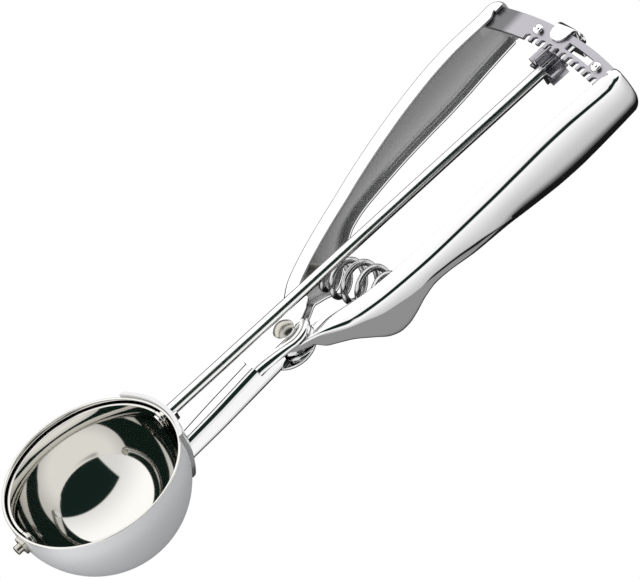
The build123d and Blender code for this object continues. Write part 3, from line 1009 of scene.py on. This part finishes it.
def coilNodes(shape):
    group = bpy.data.node_groups.new("coilNodes", "GeometryNodeTree")
    group.interface.new_socket("Geometry", in_out="OUTPUT", socket_type="NodeSocketGeometry")
    sockets = {}
    for label, value in shape.items():
        made = group.interface.new_socket(label, in_out="INPUT", socket_type="NodeSocketFloat")
        made.default_value = value
        sockets[label] = made.identifier
    material = group.interface.new_socket("Material", in_out="INPUT", socket_type="NodeSocketMaterial")
    sockets["Material"] = material.identifier
    Signal.tree = group
    given = group.nodes.new("NodeGroupInput")
    taken = {label: Signal(given.outputs[label]) for label in shape}
    spiral = Signal.node(
        "GeometryNodeCurveSpiral",
        {"Resolution": 64, "Rotations": taken["Turns"], "Start Radius": 1.0, "End Radius": 1.0,
         "Height": taken["Length"]},
    )
    factor = Signal.node("GeometryNodeSplineParameter", output="Factor")
    swell = Signal.node("ShaderNodeMath", {0: factor * pi}, operation="SINE")
    radius = taken["End Radius"] + (taken["Middle Radius"] - taken["End Radius"]) * swell
    x, y, z = Signal.node("GeometryNodeInputPosition").split()
    placed = Signal.node("ShaderNodeCombineXYZ", {0: x * radius, 1: y * radius, 2: z})
    moved = Signal.node("GeometryNodeSetPosition", {"Geometry": spiral, "Position": placed})
    circle = Signal.node(
        "GeometryNodeCurvePrimitiveCircle", {"Resolution": 20, "Radius": taken["Wire Radius"]}
    )
    wire = Signal.node(
        "GeometryNodeCurveToMesh", {"Curve": moved, "Profile Curve": circle, "Fill Caps": True}
    )
    solid = Signal.node("GeometryNodeRealizeInstances", {"Geometry": wire})
    coloured = group.nodes.new("GeometryNodeSetMaterial")
    group.links.new(solid.socket, coloured.inputs["Geometry"])
    group.links.new(given.outputs["Material"], coloured.inputs["Material"])
    leave = group.nodes.new("NodeGroupOutput")
    group.links.new(coloured.outputs[0], leave.inputs[0])
    return group, sockets


springShape = {"Turns": 5.5, "End Radius": 3.7, "Middle Radius": 6.2, "Length": 0.0, "Wire Radius": 1.05}
springLeft, springRight = np.array([-15.6, 21.5, -8.3]), np.array([18.6, 31.0, -8.3])
springMargin = 3.55  # of each end, on its stud


def coilMesh():
    axis = springRight - springLeft
    springShape["Length"] = float(np.linalg.norm(axis) - 2 * springMargin)
    axis /= np.linalg.norm(axis)
    group, sockets = coilNodes(springShape)
    holder = bpy.data.objects.new("coilHolder", bpy.data.meshes.new("coilHolder"))
    bpy.context.scene.collection.objects.link(holder)
    modifier = holder.modifiers.new("coil", "NODES")
    modifier.node_group = group
    for label, value in springShape.items():
        modifier[sockets[label]] = value
    modifier[sockets["Material"]] = wireSteel
    bpy.context.view_layer.update()
    depsgraph = bpy.context.evaluated_depsgraph_get()
    coil = bpy.data.meshes.new_from_object(holder.evaluated_get(depsgraph))
    bpy.data.objects.remove(holder)
    up = np.array([0, 0, 1.0])
    turned = np.column_stack([np.cross(up, axis), up, axis])
    points = np.array([v.co[:] for v in coil.vertices]) @ turned.T + springLeft + axis * springMargin
    coil.vertices.foreach_set("co", toRow(points).astype(np.float32).ravel())
    coil.update()
    coil.materials.clear()
    return cleanMesh(coil)


spring = makePiece("coilSpring", [coilMesh()], wireSteel, None, ["coil_spring"])
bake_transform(spring)

# small pieces

collarShape = {"corner": 1.7, "soft": 0.5, "long": 1.3, "place": -28.45}
corner = collarShape["corner"]
collarOutline = softBox(-corner, corner, -corner, corner, collarShape["soft"], 4)
collar = plateMesh("collar", [collarOutline], collarShape["long"], 0.12, alongSpindle(collarShape["place"]))
makePiece("frontCollar", [collar], rivetSteel, "frame", ["front_collar"])

cradleShape = {"bore": 1.95, "half": 2.7, "top": 0.4, "low": -2.9, "corner": 0.7, "long": 2.4, "place": 29.6}


def cradleOutline():
    bore, half, top, low = (cradleShape[key] for key in ("bore", "half", "top", "low"))
    slope = cradleShape["corner"]
    outline = [(slope - half, low), (half - slope, low), (half, low + slope)]
    outline += [(half, top), (bore, top), (bore, 0)]
    outline += arc((0, 0), bore, 0, -180, 16)[1:]
    return outline + [(-bore, top), (-half, top), (-half, low + slope)]


cradle = plateMesh("cradle", [cradleOutline()], cradleShape["long"], 0.2, alongSpindle(cradleShape["place"]))
makePiece("rearBearing", [cradle], polished, "frame", ["rear_bearing"])

washerProfile = [(1.35, 198.3), (2.5, 198.3), (2.6, 198.4), (2.6, 198.8), (2.5, 198.9), (1.35, 198.9)]
washer = latheMesh("washer", washerProfile, 40, onSpindle)
makePiece("endWasher", [washer], polished, "frame", ["end_washer"])

keptFinishes = {"pivot_washers": polished, "spring_stud_fixed": rivetSteel, "spring_stud_moving": rivetSteel}
for nodeName, finish in keptFinishes.items():
    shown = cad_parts[nodeName]
    shown.data.materials.clear()
    shown.data.materials.append(finish)

# floor, light and camera

floorHalf = 9
floorMesh = bpy.data.meshes.new("floor")
corners = [(x * floorHalf, y * floorHalf, 0) for x, y in ((-1, -1), (1, -1), (1, 1), (-1, 1))]
floorMesh.from_pydata(corners, [], [(0, 1, 2, 3)])
floor = bpy.data.objects.new("floor", floorMesh)
bpy.context.scene.collection.objects.link(floor)
paper = bpy.data.materials.new("paper")
paper.use_nodes = True
paperTree = paper.node_tree
Signal.tree = paperTree
paperTree.nodes.remove(paperTree.nodes["Principled BSDF"])
fromCamera = Signal.node("ShaderNodeLightPath", output="Is Camera Ray")
white = Signal.node("ShaderNodeEmission", {"Color": (1, 1, 1, 1), "Strength": 1.0})
clear = Signal.node("ShaderNodeBsdfTransparent")
mixed = Signal.node("ShaderNodeMixShader", {0: fromCamera, 1: clear, 2: white})
paperTree.links.new(mixed.socket, paperTree.nodes["Material Output"].inputs["Surface"])
floorMesh.materials.append(paper)

studio = {  # spans of a direction's x, y or z, and levels of light
    "windowStartX": (0.33, 0.37),
    "windowEndX": (0.975, 0.95),
    "windowStartY": (-0.50, -0.46),
    "windowEndY": (0.88, 0.84),
    "windowFoot": (0.1, 0.2),
    "windowShare": 0.99,
    "sky": (0.6, -0.3, 0.95, 1.4),  # a span and the levels at its two ends
    "rearSpan": (-0.55, -0.75),
    "horizon": (-0.02, 0.02),
    "rearHorizon": (0.1, 0.3),
    "ground": (-0.46, -0.65, 1.08, 0.62),
    "greySpan": (-0.64, -0.685),
    "greyShare": 0.5,
    "blackSpan": (-0.66, -0.70),
    "blackLift": 0.07,
    "liftSpan": (-0.1, 0.02),
    "blackShare": 0.97,
    "backSpan": (-0.15, -0.4),
    "backLevel": 0.03,
    "tint": (0.012, 0.008),  # green and blue in the window's dark
}
world = bpy.data.worlds.new("studio")
bpy.context.scene.world = world
world.use_nodes = True
worldTree = world.node_tree
Signal.tree = worldTree
x, y, z = Signal.node("ShaderNodeTexCoord", output="Generated").split()
across = x.ramp(*studio["windowStartX"]) * x.ramp(*studio["windowEndX"])
window = across * y.ramp(*studio["windowStartY"]) * y.ramp(*studio["windowEndY"])
dark = window * z.ramp(*studio["windowFoot"])
sky = x.ramp(*studio["sky"]) * (1.0 - dark * studio["windowShare"])
rear = x.ramp(*studio["rearSpan"])
above = z.ramp(*studio["horizon"]) * (1.0 - rear) + z.ramp(*studio["rearHorizon"]) * rear
floorLight = z.ramp(*studio["ground"]) * (1.0 - z.ramp(*studio["greySpan"]) * studio["greyShare"])
under = (z + (1.0 - y.ramp(*studio["liftSpan"])) * studio["blackLift"]).ramp(*studio["blackSpan"])
back = x.ramp(*studio["backSpan"])
ground = floorLight * (1.0 - under * studio["blackShare"]) * (1.0 - back) + back * studio["backLevel"]
shade = sky * above + ground * (1.0 - above)
straight = Signal.node("ShaderNodeLightPath", output="Is Camera Ray")
level = shade * (1.0 - straight) + straight
green, blue = (level + dark * tint for tint in studio["tint"])
colour = Signal.node("ShaderNodeCombineColor", {0: level, 1: green, 2: blue})
worldTree.links.new(colour.socket, worldTree.nodes["Background"].inputs["Color"])
worldTree.nodes["Background"].inputs["Strength"].default_value = 1.0

cameraShape = {"place": (1013.31, -234.90, 989.99), "sensor": 36, "lens": 276.16, "near": 0.05, "far": 60}
cameraData = bpy.data.cameras.new("camera")
camera = bpy.data.objects.new("camera", cameraData)
bpy.context.scene.collection.objects.link(camera)
right = Vector((0.595457, 0.672700, -0.439210))
down = Vector((0.386331, -0.719101, -0.577618))
ahead = Vector((-0.704400, 0.174267, -0.688079))
turned = Matrix((right, -down, -ahead)).transposed().to_4x4()
turned.translation = Vector(toRow(cameraShape["place"]))
camera.matrix_world = turned
cameraData.sensor_width = cameraShape["sensor"]
cameraData.lens = cameraShape["lens"]
cameraData.clip_start = cameraShape["near"]
cameraData.clip_end = cameraShape["far"]
bpy.context.scene.camera = camera
bpy.context.scene.view_settings.view_transform = "Standard"
